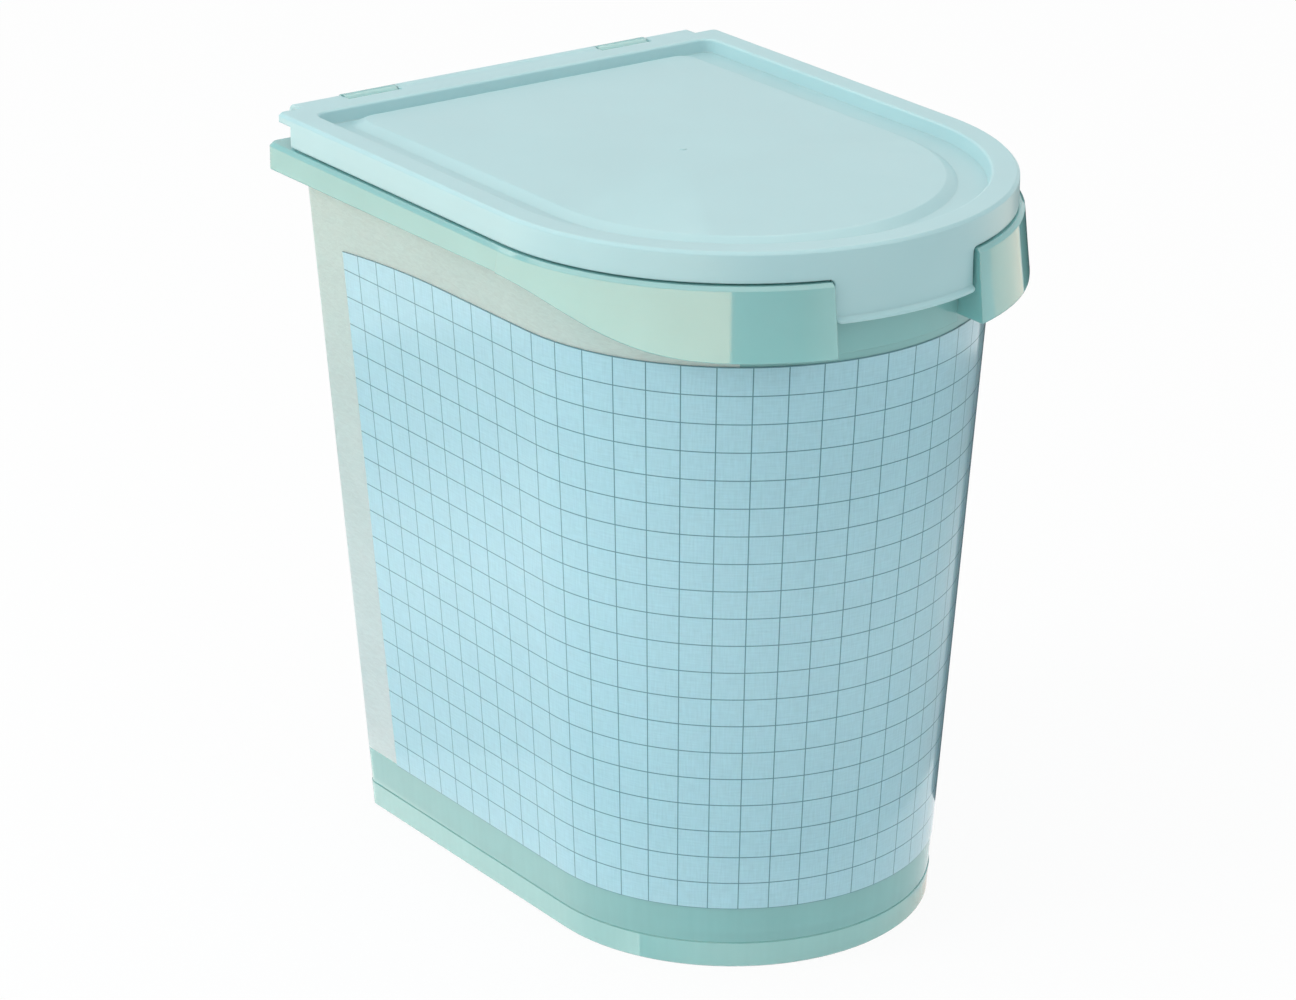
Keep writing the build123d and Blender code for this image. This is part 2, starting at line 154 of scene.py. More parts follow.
@dataclass(frozen=True)
class TranslucentPolypropylene:
    """Injection-moulded clear-tinted polypropylene: glossy, milky in its depth, spark-grained on the wall.

    Light enters the wall and comes out again a few millimetres away, which gives the eye soft,
    pale body colour under a hard gloss. The grained wall scatters more, so it looks paler, and its
    colour is also painted lighter near the foot and darker towards the shelf: painted light and shade.
    The moulding cools with faint upright streaks near its foot, and a darker line of painted shade
    runs along the foot's step.
    """

    name: str = "polypropylene_translucent_moulded"
    smooth_colour: str = "#99D2D1"
    # The grain's colour is painted lighter near the foot and darker towards the shelf: painted light and
    # shade.
    grain_colour_painted_lit_low: str = "#D9EBEC"
    grain_colour_painted_shaded_high: str = "#C6E0DA"
    # A darker line of painted shade along the foot's step.
    step_painted_shade_colour: str = "#6FB3AE"
    grain_size: float = mm(0.9)
    grain_depth: float = mm(0.16)
    grain_bottom: float = mm(27.0)
    painted_shade_top: float = mm(290.0)
    polish_bottom: float = mm(236.0)
    polish_half: float = mm(58.0)
    step_height: float = mm(11.0)
    step_width: float = mm(0.5)
    fleck_length: float = mm(5.0)
    fleck_height: float = mm(1.3)
    fleck_range: tuple[float, float] = (0.35, 0.65)
    fleck_tone: float = 0.05
    streak_width: float = mm(3.0)
    streak_height: float = mm(60.0)
    streak_tone: float = 0.04
    mottle_size: float = mm(28.0)
    mottle_tone: float = 0.05
    smooth_roughness: float = 0.07
    grain_roughness: float = 0.34
    ior: float = 1.49
    clearness: float = 0.26
    scatter: float = 0.35
    scatter_radius: float = mm(5.0)
    scatter_tint: tuple[float, float, float] = (0.6, 1.0, 0.95)
    edge_radius: float = mm(0.6)

    def grained_part(
        self, tree: bpy.types.NodeTree, place: bpy.types.NodeSocket, wall: bpy.types.NodeSocket,
    ) -> bpy.types.Node:
        """Return 1 on the grained wall, and 0 below it and on the smooth strip at the top of the front.

        Args:
            tree: The material's node tree.
            place: Position on the tub.
            wall: 1 on the outer wall.

        Returns:
            The node that holds the mask.
        """
        parts = add_node(tree, "SeparateXYZ", {0: place}).outputs
        above = add_node(tree, "Math", {0: parts["Z"], 1: self.grain_bottom}, operation="GREATER_THAN")
        across = add_node(tree, "Math", {0: parts["X"]}, operation="ABSOLUTE")
        beside = add_node(tree, "Math", {0: across, 1: self.polish_half}, operation="GREATER_THAN")
        beneath = add_node(tree, "Math", {0: parts["Z"], 1: self.polish_bottom}, operation="LESS_THAN")
        behind = add_node(tree, "Math", {0: parts["Y"], 1: 0.0}, operation="GREATER_THAN")
        around = add_node(tree, "Math", {0: beside, 1: beneath}, operation="MAXIMUM")
        unpolished = add_node(tree, "Math", {0: around, 1: behind}, operation="MAXIMUM")
        high_wall = add_node(tree, "Math", {0: above, 1: wall}, operation="MULTIPLY")
        return add_node(tree, "Math", {0: high_wall, 1: unpolished}, operation="MULTIPLY")

    def colour(
        self, tree: bpy.types.NodeTree, height: bpy.types.NodeSocket, wall: bpy.types.NodeSocket,
        grained: bpy.types.Node,
    ) -> bpy.types.NodeSocket:
        """Return the plastic's colour before its mottle, with painted light and shade: the grain is painted
        lighter near the foot and darker towards the shelf, and a darker line of painted shade runs along
        the foot's step.

        Args:
            tree: The material's node tree.
            height: Height on the tub.
            wall: 1 on the outer wall.
            grained: 1 on the grained wall.

        Returns:
            The socket that holds the colour.
        """
        # Painted light and shade: the grain's colour goes from lighter near the foot to darker towards the
        # shelf.
        rise = add_node(
            tree, "MapRange", {"Value": height, "From Min": self.grain_bottom, "From Max": self.painted_shade_top},
        )
        grain_colour = add_node(
            tree, "Mix",
            {0: rise, 6: linear(self.grain_colour_painted_lit_low), 7: linear(self.grain_colour_painted_shaded_high)},
            data_type="RGBA",
        )
        plain = add_node(
            tree, "Mix",
            {0: grained, 6: linear(self.smooth_colour), 7: grain_colour.outputs[2]},
            data_type="RGBA",
        )
        # Painted shade: a darker line along the foot's step.
        at_step = add_node(
            tree, "Math", {0: height, 1: self.step_height, 2: self.step_width / 2}, operation="COMPARE",
        )
        painted_step_shade = add_node(tree, "Math", {0: at_step, 1: wall}, operation="MULTIPLY")
        shaded = add_node(
            tree, "Mix", {0: painted_step_shade, 6: plain.outputs[2], 7: linear(self.step_painted_shade_colour)}, data_type="RGBA",
        )
        return shaded.outputs[2]

    def tone(
        self, tree: bpy.types.NodeTree, place: bpy.types.NodeSocket, height: bpy.types.NodeSocket,
        grained: bpy.types.Node,
    ) -> bpy.types.Node:
        """Return a factor near 1: a soft mottle, times flecks on the grain and streaks near the foot.

        Args:
            tree: The material's node tree.
            place: Position on the tub.
            height: Height on the tub.
            grained: 1 on the grained wall.

        Returns:
            The node that holds the factor.
        """
        mottle = add_node(tree, "TexNoise", {"Vector": place, "Scale": 1 / self.mottle_size, "Detail": 3.0})
        cloud = add_node(
            tree, "MapRange",
            {"Value": mottle.outputs["Fac"], "To Min": 1 - self.mottle_tone, "To Max": 1 + self.mottle_tone},
        )
        upright = add_node(
            tree, "Mapping",
            {"Vector": place,
             "Scale": (1 / self.streak_width, 1 / self.streak_width, 1 / self.streak_height)},
        )
        streaks = add_node(tree, "TexNoise", {"Vector": upright, "Scale": 1.0, "Detail": 2.0})
        streak = add_node(
            tree, "MapRange",
            {"Value": streaks.outputs["Fac"], "To Min": 1 - self.streak_tone, "To Max": 1 + self.streak_tone},
        )
        lying = add_node(
            tree, "Mapping",
            {"Vector": place,
             "Scale": (1 / self.fleck_length, 1 / self.fleck_length, 1 / self.fleck_height)},
        )
        flecks = add_node(
            tree, "TexNoise",
            {"Vector": lying, "Scale": 1.0, "Detail": 4.0, "Roughness": 0.65, "Distortion": 1.0},
        )
        fleck = add_node(
            tree, "MapRange",
            {"Value": flecks.outputs["Fac"], "From Min": self.fleck_range[0], "From Max": self.fleck_range[1],
             "To Min": 1 - self.fleck_tone, "To Max": 1 + self.fleck_tone},
        )
        low = add_node(tree, "Math", {0: height, 1: self.grain_bottom}, operation="LESS_THAN")
        near_foot = add_node(tree, "Mix", {0: low, 2: 1.0, 3: streak}, data_type="FLOAT")
        texture = add_node(tree, "Mix", {0: grained, 2: near_foot, 3: fleck}, data_type="FLOAT")
        return add_node(tree, "Math", {0: cloud, 1: texture}, operation="MULTIPLY")

    def material(self) -> bpy.types.Material:
        """Build the material."""
        material, tree = new_material(self.name)
        place = add_node(tree, "TexCoord").outputs["Object"]
        height = add_node(tree, "SeparateXYZ", {0: place}).outputs["Z"]
        wall = add_node(tree, "Attribute", attribute_name=Tub.WALL_MARK).outputs["Fac"]
        grained = self.grained_part(tree, place, wall)
        plain = self.colour(tree, height, wall, grained)
        value = self.tone(tree, place, height, grained)
        colour = add_node(tree, "HueSaturation", {"Color": plain, "Value": value})
        grain = add_node(
            tree, "TexNoise",
            {"Vector": place, "Scale": 1 / self.grain_size, "Detail": 4.0, "Roughness": 0.7},
        )
        rounded = add_node(tree, "Bevel", {"Radius": self.edge_radius}, samples=6)
        bump = add_node(
            tree, "Bump",
            {
                "Strength": grained, "Distance": self.grain_depth, "Height": grain.outputs["Fac"],
                "Normal": rounded,
            },
        )
        roughness = add_node(
            tree, "MapRange",
            {"Value": grained, "To Min": self.smooth_roughness, "To Max": self.grain_roughness},
        )
        shader = add_node(
            tree, "BsdfPrincipled",
            {
                "Base Color": colour, "Roughness": roughness, "IOR": self.ior,
                "Subsurface Weight": self.scatter, "Subsurface Radius": self.scatter_tint,
                "Subsurface Scale": self.scatter_radius, "Transmission Weight": self.clearness,
                "Normal": bump,
            },
        )
        add_node(tree, "OutputMaterial", {"Surface": shader})
        return material


@dataclass(frozen=True)
class SatinPolypropylene:
    """Opaque coloured polypropylene from a finely polished mould: satin, with a faint flow mottle."""

    name: str = "polypropylene_opaque_satin"
    colour: str = "#ADD2D6"
    flow_size: float = mm(35.0)
    flow_tone: float = 0.03
    polish_size: float = mm(0.9)
    polish_depth: float = mm(0.012)
    polish_strength: float = 0.5
    roughness: tuple[float, float] = (0.31, 0.38)
    ior: float = 1.49
    sheen_level: float = 0.3
    scatter: float = 0.4
    scatter_radius: float = mm(3.0)
    scatter_tint: tuple[float, float, float] = (0.7, 1.0, 1.0)
    edge_radius: float = mm(0.9)

    def material(self) -> bpy.types.Material:
        """Build the material."""
        material, tree = new_material(self.name)
        place = add_node(tree, "TexCoord").outputs["Object"]
        flow = add_node(tree, "TexNoise", {"Vector": place, "Scale": 1 / self.flow_size, "Detail": 2.0})
        value = add_node(
            tree, "MapRange",
            {"Value": flow.outputs["Fac"], "To Min": 1 - self.flow_tone, "To Max": 1 + self.flow_tone},
        )
        colour = add_node(tree, "HueSaturation", {"Color": linear(self.colour), "Value": value})
        polish = add_node(tree, "TexNoise", {"Vector": place, "Scale": 1 / self.polish_size, "Detail": 2.0})
        rounded = add_node(tree, "Bevel", {"Radius": self.edge_radius}, samples=6)
        bump = add_node(
            tree, "Bump",
            {
                "Strength": self.polish_strength, "Distance": self.polish_depth,
                "Height": polish.outputs["Fac"], "Normal": rounded,
            },
        )
        roughness = add_node(
            tree, "MapRange",
            {"Value": flow.outputs["Fac"], "To Min": self.roughness[0], "To Max": self.roughness[1]},
        )
        shader = add_node(
            tree, "BsdfPrincipled",
            {
                "Base Color": colour, "Roughness": roughness, "IOR": self.ior,
                "Specular IOR Level": self.sheen_level, "Subsurface Weight": self.scatter,
                "Subsurface Radius": self.scatter_tint, "Subsurface Scale": self.scatter_radius,
                "Normal": bump,
            },
        )
        add_node(tree, "OutputMaterial", {"Surface": shader})
        return material


@dataclass(frozen=True)
class SmallPartPlastic:
    """Plain moulding for a small inner part: soft elastomer for the seal, acetal for the pins."""

    name: str
    colour: str
    roughness: float
    grain_size: float = mm(0.6)
    grain_depth: float = mm(0.02)
    grain_strength: float = 0.4
    grain_tone: tuple[float, float] = (0.95, 1.04)
    scatter: float = 0.1
    scatter_radius: float = mm(1.0)

    def material(self) -> bpy.types.Material:
        """Build the material."""
        material, tree = new_material(self.name)
        place = add_node(tree, "TexCoord").outputs["Object"]
        grain = add_node(tree, "TexNoise", {"Vector": place, "Scale": 1 / self.grain_size, "Detail": 2.0})
        value = add_node(
            tree, "MapRange",
            {"Value": grain.outputs["Fac"], "To Min": self.grain_tone[0], "To Max": self.grain_tone[1]},
        )
        colour = add_node(tree, "HueSaturation", {"Color": linear(self.colour), "Value": value})
        bump = add_node(
            tree, "Bump",
            {"Strength": self.grain_strength, "Distance": self.grain_depth, "Height": grain.outputs["Fac"]},
        )
        shader = add_node(
            tree, "BsdfPrincipled",
            {
                "Base Color": colour, "Roughness": self.roughness, "Subsurface Weight": self.scatter,
                "Subsurface Scale": self.scatter_radius, "Normal": bump,
            },
        )
        add_node(tree, "OutputMaterial", {"Surface": shader})
        return material


@dataclass(frozen=True)
class PrintedFilmFinish:
    """Pale blue polyester film with a linen emboss, a fine printed grid and a clear smooth coat.

    The emboss breaks up the gloss of the print, under a thin coat that mirrors only at a glance.
    Its threads are drawn 0.7 mm apart, coarser than the real ones, so that they show. The grid
    is not centred on the front: its columns lie a sixth of a square to the left.
    """

    name: str = "polyester_film_linen_printed"
    ground: str = "#A2CFDB"
    line: str = "#54848F"
    line_width: float = mm(0.42)
    line_soft: float = mm(0.12)
    thread: float = mm(0.7)
    slub: float = mm(7.0)
    emboss_depth: float = mm(0.05)
    emboss_strength: float = 0.8
    weave_tone: float = 0.16
    mottle_tone: float = 0.06
    mottle_size: float = mm(22.0)
    column_shift: float = 0.16
    top_line: float = 0.9986
    roughness: float = 0.5
    ior: float = 1.45
    sheen_level: float = 0.3
    coat_roughness: float = 0.12
    scatter: float = 0.1
    scatter_radius: float = mm(1.0)

    def line_mask(
        self, tree: bpy.types.NodeTree, cells: bpy.types.Node | bpy.types.NodeSocket, cell: float,
    ) -> bpy.types.Node:
        """Return 1 on the printed lines of one direction.

        Args:
            tree: The material's node tree.
            cells: Position across the lines, counted in cells.
            cell: The width of a cell in metres.

        Returns:
            The node that holds the mask.
        """
        near = add_node(tree, "Math", {0: cells, 1: 0.5}, operation="PINGPONG")
        away = add_node(tree, "Math", {0: near, 1: cell}, operation="MULTIPLY")
        edge = self.line_width / 2
        return add_node(
            tree, "MapRange",
            {"Value": away, "From Min": edge - self.line_soft / 2, "From Max": edge + self.line_soft / 2,
             "To Min": 1.0, "To Max": 0.0},
            interpolation_type="SMOOTHSTEP",
        )

    def threads(
        self, tree: bpy.types.NodeTree, place: bpy.types.Node, along: tuple[float, float],
    ) -> bpy.types.NodeSocket:
        """Return a streaky height for the threads that run one way.

        Args:
            tree: The material's node tree.
            place: Position on the film in metres.
            along: How far a streak reaches across and up the film.

        Returns:
            The socket that holds the height.
        """
        stretched = add_node(
            tree, "Mapping", {"Vector": place, "Scale": (1 / along[0], 1 / along[1], 1.0)},
        )
        noise = add_node(tree, "TexNoise", {"Vector": stretched, "Scale": 1.0, "Detail": 1.0})
        return noise.outputs["Fac"]

    def material(self, cell_width: float, cell_height: float) -> bpy.types.Material:
        """Build the material.

        Args:
            cell_width: Width of a printed square on the film.
            cell_height: Height of a printed square.

        Returns:
            The finished material.
        """
        material, tree = new_material(self.name)
        grid = add_node(tree, "UVMap", uv_map=Film.GRID_MAP)
        sheet = add_node(tree, "UVMap", uv_map=Film.SHEET_MAP)
        cells = add_node(tree, "SeparateXYZ", {0: grid}).outputs
        columns = add_node(tree, "Math", {0: cells["X"], 1: self.column_shift}, operation="ADD")
        lines = add_node(
            tree, "Math",
            {0: self.line_mask(tree, columns, cell_width), 1: self.line_mask(tree, cells["Y"], cell_height)},
            operation="MAXIMUM",
        )
        share = add_node(tree, "SeparateXYZ", {0: sheet}).outputs["Y"]
        top = add_node(tree, "Math", {0: share, 1: self.top_line}, operation="GREATER_THAN")
        inked = add_node(tree, "Math", {0: lines, 1: top}, operation="MAXIMUM")

        place = add_node(
            tree, "VectorMath", {0: grid, 1: (cell_width, cell_height, 1.0)}, operation="MULTIPLY",
        )
        weft = self.threads(tree, place, (self.slub, self.thread))
        warp = self.threads(tree, place, (self.thread, self.slub))
        weave = add_node(tree, "Math", {0: weft, 1: warp}, operation="ADD")
        mottle = add_node(tree, "TexNoise", {"Vector": place, "Scale": 1 / self.mottle_size, "Detail": 3.0})
        woven = add_node(tree, "Math", {0: weave, 1: self.weave_tone}, operation="MULTIPLY")
        mottled = add_node(
            tree, "Math", {0: mottle.outputs["Fac"], 1: self.mottle_tone}, operation="MULTIPLY",
        )
        uneven = add_node(tree, "Math", {0: woven, 1: mottled}, operation="ADD")
        level = 1 - self.weave_tone - self.mottle_tone / 2
        value = add_node(tree, "Math", {0: uneven, 1: level}, operation="ADD")
        ground = add_node(tree, "HueSaturation", {"Color": linear(self.ground), "Value": value})
        colour = add_node(tree, "Mix", {0: inked, 6: ground, 7: linear(self.line)}, data_type="RGBA")
        bump = add_node(
            tree, "Bump",
            {"Strength": self.emboss_strength, "Distance": self.emboss_depth, "Height": weave},
        )
        shader = add_node(
            tree, "BsdfPrincipled",
            {
                "Base Color": colour.outputs[2], "Roughness": self.roughness, "IOR": self.ior,
                "Specular IOR Level": self.sheen_level, "Subsurface Weight": self.scatter,
                "Subsurface Scale": self.scatter_radius, "Normal": bump,
                "Coat Weight": 1.0, "Coat Roughness": self.coat_roughness, "Coat IOR": self.ior,
            },
        )
        add_node(tree, "OutputMaterial", {"Surface": shader})
        return material


def moulded_copy(node: str, name: str, crease: float = math.radians(24)) -> bpy.types.Object:
    """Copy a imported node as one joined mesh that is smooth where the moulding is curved.

    Args:
        node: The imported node's name.
        name: The new piece's name.
        crease: Two faces that meet at more than this angle keep a sharp edge.

    Returns:
        The new object, at the origin.
    """
    shape = bmesh.new()
    shape.from_mesh(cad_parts[node].data)
    bmesh.ops.remove_doubles(shape, verts=shape.verts, dist=MERGE_DISTANCE)
    for face in shape.faces:
        face.smooth = True
    for edge in shape.edges:
        edge.smooth = edge.calc_face_angle(math.pi) < crease
    return finished(shape, name)


def finished(shape: bmesh.types.BMesh, name: str) -> bpy.types.Object:
    """Turn a bmesh into an object in the scene.

    Args:
        shape: The bmesh, which is freed.
        name: The name of the object and its mesh.

    Returns:
        The new object, at the origin.
    """
    mesh = bpy.data.meshes.new(name)
    shape.to_mesh(mesh)
    shape.free()
    piece = bpy.data.objects.new(name, mesh)
    bpy.context.scene.collection.objects.link(piece)
    return piece


def dress(piece: bpy.types.Object, material: bpy.types.Material, body: Body, slot: Slot, *nodes: str) -> None:
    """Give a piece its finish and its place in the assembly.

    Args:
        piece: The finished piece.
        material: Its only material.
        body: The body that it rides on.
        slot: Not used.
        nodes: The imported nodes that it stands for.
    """
    piece.data.materials.append(material)
    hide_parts(*nodes)
    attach(piece, body.value)
    LOG.info("%s rides on %s with %d faces", piece.name, body.value, len(piece.data.polygons))


@dataclass
class Tub:
    """The moulded tub: wall, foot, shelf, grip collar, lip and hinge lugs."""

    WALL_MARK = "OuterWall"

    least_lean: float = math.sin(math.radians(2.0))
    most_lean: float = math.sin(math.radians(5.2))
    pad_bottom: float = mm(250.0)
    pad_half: float = mm(38.0)
    finish: TranslucentPolypropylene = TranslucentPolypropylene()

    def build(self) -> None:
        """Make the tub, with its outer wall marked for the grain."""
        tub = moulded_copy("tub", "tub_moulding")
        mark = tub.data.attributes.new(self.WALL_MARK, "FLOAT", "FACE")
        for face in tub.data.polygons:
            mark.data[face.index].value = float(self.is_wall(tub.data, face))
        dress(tub, self.finish.material(), Body.TUB, Slot.TUB, "tub")

    def is_wall(self, mesh: bpy.types.Mesh, face: bpy.types.MeshPolygon) -> bool:
        """Tell whether a face belongs to the drafted outer wall, by how its normal leans down.

        Args:
            mesh: The tub's mesh.
            face: The face to judge.

        Returns:
            True on the wall and the foot, and false on the pad behind the pull tab.
        """
        corners = [mesh.vertices[index].co for index in face.vertices]
        on_pad = all(
            point.y < 0 and point.z > self.pad_bottom and abs(point.x) < self.pad_half for point in corners
        )
        return self.least_lean < -face.normal.z < self.most_lean and not on_pad


@dataclass
class Lid:
    """The moulded lid with its seal."""

    finish: SatinPolypropylene = SatinPolypropylene()
    seal_finish: SmallPartPlastic = SmallPartPlastic("elastomer_seal_moulded", "#DCEBEA", 0.6)

    def build(self) -> None:
        """Make the lid and the seal under its rim."""
        lid = moulded_copy("lid", "lid_moulding")
        dress(lid, self.finish.material(), Body.LID, Slot.LID, "lid")
        seal = moulded_copy("lid_seal", "lid_seal_ring")
        dress(seal, self.seal_finish.material(), Body.LID, Slot.SEAL, "lid_seal")


@dataclass
class HingePins:
    """The two pins that the lid turns on."""

    finish: SmallPartPlastic = SmallPartPlastic("acetal_pin_moulded", "#C6DEDD", 0.35)

    def build(self) -> None:
        """Make both pins."""
        material = self.finish.material()
        for side in ("left", "right"):
            pin = moulded_copy(f"hinge_pin_{side}", f"pin_{side}")
            dress(pin, material, Body.TUB, Slot.PIN, f"hinge_pin_{side}")


@dataclass
class Film:
    """The printed film: a flat sheet laid round the drafted wall, whose grid keeps in step with the wall."""

    GRID_MAP = "Grid"
    SHEET_MAP = "Sheet"

    columns_per_half: int = 21
    rows: int = 20
    row_pitch: float = mm(11.6)
    steps_per_column: int = 4
    steps_per_row: int = 2
    thickness: float = mm(0.25)
    side_draft: float = math.radians(3.86)
    back_draft: float = math.radians(2.53)
    top_fall: float = mm(4.2)
    fall_length: float = mm(75.0)
    finish: PrintedFilmFinish = PrintedFilmFinish()

    def __post_init__(self) -> None:
        """Read the film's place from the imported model."""
        low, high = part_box("printed_wrap")
        self.bottom = low.z
        self.top = high.z
        self.top_half = high.x
        self.arc_y = low.y + high.x
        self.top_rear = high.y - self.arc_y

    def half(self, z: float) -> float:
        """Return the half width, and the front's radius, at height z."""
        return self.top_half - (self.top - z) * math.tan(self.side_draft)

    def rear(self, z: float) -> float:
        """Return how far the film reaches behind the arc's centre at height z."""
        return self.top_rear - (self.top - self.top_fall - z) * math.tan(self.back_draft)

    def along(self, share: float, z: float) -> float:
        """Return the distance from the front's middle, for a share of the way to the rear edge."""
        return abs(share) * (self.half(z) * math.pi / 2 + self.rear(z))

    def place(self, share: float, z: float) -> Vector:
        """Return the point on the wall.

        Args:
            share: From -1 at the left rear edge to 1 at the right one.
            z: Height.

        Returns:
            The point in the model's frame.
        """
        radius = self.half(z)
        run = self.along(share, z)
        quarter = radius * math.pi / 2
        side = math.copysign(1.0, share)
        if run > quarter:
            return Vector((side * radius, self.arc_y + run - quarter, z))
        turn = run / radius
        return Vector((side * radius * math.sin(turn), self.arc_y - radius * math.cos(turn), z))

    def top_at(self, share: float) -> float:
        """Return the height of the top edge, which falls a little towards the rear.

        Args:
            share: From -1 at the left rear edge to 1 at the right one.

        Returns:
            The height in metres.
        """
        behind = self.along(share, self.top) - self.top_half * math.pi / 2
        fallen = max(0.0, behind - (self.top_rear - self.fall_length)) / self.fall_length
        return self.top - self.top_fall * min(1.0, fallen) ** 2

    def build(self) -> None:
        """Make the film."""
        shape = bmesh.new()
        sheet = shape.loops.layers.uv.new(self.SHEET_MAP)
        grid = shape.loops.layers.uv.new(self.GRID_MAP)
        bmesh.ops.create_grid(
            shape, size=1.0,
            x_segments=2 * self.columns_per_half * self.steps_per_column,
            y_segments=self.rows * self.steps_per_row,
        )
        share_of = {vert: vert.co.x for vert in shape.verts}
        height_of = {vert: (vert.co.y + 1) / 2 for vert in shape.verts}
        for vert in shape.verts:
            share = share_of[vert]
            z = self.bottom + height_of[vert] * (self.top_at(share) - self.bottom)
            vert.co = self.place(share, z)
        for face in shape.faces:
            face.smooth = True
            for loop in face.loops:
                share = share_of[loop.vert]
                loop[sheet].uv = (share, height_of[loop.vert])
                rise = loop.vert.co.z - self.bottom
                loop[grid].uv = (share * self.columns_per_half, rise / self.row_pitch)
        for edge in shape.edges:
            edge.smooth = not edge.is_boundary
        film = finished(shape, "film_sheet")
        wall = film.modifiers.new("thickness", "SOLIDIFY")
        wall.thickness = self.thickness
        wall.offset = -1.0
        middle = (self.bottom + self.top) / 2
        cell_width = self.along(1.0, middle) / self.columns_per_half
        material = self.finish.material(cell_width, self.row_pitch)
        dress(film, material, Body.TUB, Slot.FILM, "printed_wrap")


@dataclass
class Studio:
    """Pale floor, soft light, the camera, and the cards and flags that only mirrors see.

    A card's stations give, for each of its upright lines, the azimuth in degrees, the height of its
    lower end and its glow. A strip's give the azimuth and the glow, and a ring's the radius and the glow.
    Between dark_side's two azimuths the ring's glow falls to dark_side_share.
    """

    GLOW_MARK = "Glow"

    camera_azimuth: float = math.radians(-35.90)
    camera_elevation: float = math.radians(21.49)
    camera_roll: float = math.radians(0.29)
    camera_distance: float = 1.840
    camera_target: tuple[float, float, float] = (mm(-2.8), mm(23.9), mm(150.0))
    sensor_width: float = 36.0
    lens: float = 124.75
    view_length: float = 50.0
    ambient: float = 0.80
    floor_colour: str = "#F4F6F6"
    floor_white: float = 0.92
    floor_size: float = 6.0
    key_azimuth: float = math.radians(-105.0)
    key_elevation: float = math.radians(24.0)
    key_distance: float = 2.6
    key_size: float = 1.4
    key_power: float = 23.2
    top_height: float = 1.75
    top_size: float = 1.2
    top_power: float = 2.2
    card_colour: str = "#FFE3CB"
    left_card_colour: str = "#FFD9B4"
    card_radius: float = mm(620.0)
    card_top: float = mm(265.0)
    left_card: tuple[tuple[float, float, float], ...] = (
        (-168.0, mm(65.0), 1.7), (-146.0, mm(65.0), 2.2), (-134.0, mm(65.0), 3.2), (-128.0, mm(75.0), 4.0),
        (-110.0, mm(150.0), 5.2), (-75.0, mm(150.0), 6.6), (-36.4, mm(150.0), 6.9),
    )
    front_card: tuple[tuple[float, float, float], ...] = (
        (-14.0, mm(170.0), 0.9), (-7.0, mm(170.0), 1.8), (-2.0, mm(170.0), 3.0), (16.0, mm(170.0), 3.0),
    )
    back_card_radius: float = mm(900.0)
    back_card_top: float = mm(1700.0)
    back_card: tuple[tuple[float, float, float], ...] = (
        (180.0, mm(850.0), 0.8), (192.0, mm(850.0), 4.6), (216.0, mm(850.0), 4.6),
    )
    right_card: tuple[tuple[float, float], ...] = ((mm(328), mm(-180)), (mm(352), mm(-90)), (mm(345), mm(-5)))
    right_card_ends: tuple[float, float] = (mm(165), mm(262))
    right_card_glow: float = 1.7
    top_card_height: float = 1.7
    top_card_half: float = 1.3
    top_card_glow: float = 3.8
    plain_card_colour: str = "#FFF6EE"
    foot_card_colour: str = "#FFEDE2"
    foot_card_left: tuple[tuple[float, float], ...] = (
        (-90.0, 2.4), (-84.0, 2.4), (-78.0, 2.5), (-72.0, 2.7), (-67.0, 3.4), (-61.8, 4.2),
    )
    foot_card_right: tuple[tuple[float, float], ...] = (
        (-61.8, 1.1), (-54.0, 1.7), (-46.0, 2.3), (-36.0, 2.7), (-26.0, 2.4), (-14.0, 2.1), (0.0, 1.7),
        (20.0, 1.4), (45.0, 1.0),
    )
    band_card: tuple[tuple[float, float], ...] = (
        (-90.0, 1.7), (-80.0, 1.6), (-70.0, 1.4), (-60.0, 1.2), (-50.0, 1.0),
    )
    foot_step: float = mm(11.0)
    film_bottom: float = mm(26.0)
    strip_run: float = 1.4
    strip_lift: float = mm(0.4)
    ring_lift: float = mm(0.3)
    ring_step: int = 12
    dim_floor: tuple[tuple[float, float], ...] = (
        (mm(180.0), 0.65), (mm(250.0), 0.8), (mm(350.0), 1.2), (mm(430.0), 0.9), (mm(500.0), 0.35),
        (mm(640.0), 0.15),
    )
    dark_side: tuple[float, float] = (12.0, 150.0)
    dark_side_ramp: float = 56.0
    dark_side_share: float = 0.55

    wall_flag: tuple[tuple[tuple[float, float, float], ...], ...] = (
        ((mm(143.2), mm(-28), mm(-10)), (mm(151.7), mm(-37), mm(228))),
        ((mm(112.0), mm(10), mm(-10)), (mm(122.0), mm(0), mm(232))),
    )
    ear_flag: tuple[tuple[tuple[float, float, float], ...], ...] = (
        ((mm(168.5), mm(-47), mm(232)), (mm(166.0), mm(-44.5), mm(290))),
        ((mm(137.0), mm(-9), mm(232)), (mm(136.0), mm(-7), mm(290))),
    )

    @staticmethod
    def direction(azimuth: float, elevation: float = 0.0) -> Vector:
        """Return the unit vector towards an azimuth, counted from -Y towards +X, and an elevation."""
        level = math.cos(elevation)
        return Vector((math.sin(azimuth) * level, -math.cos(azimuth) * level, math.sin(elevation)))

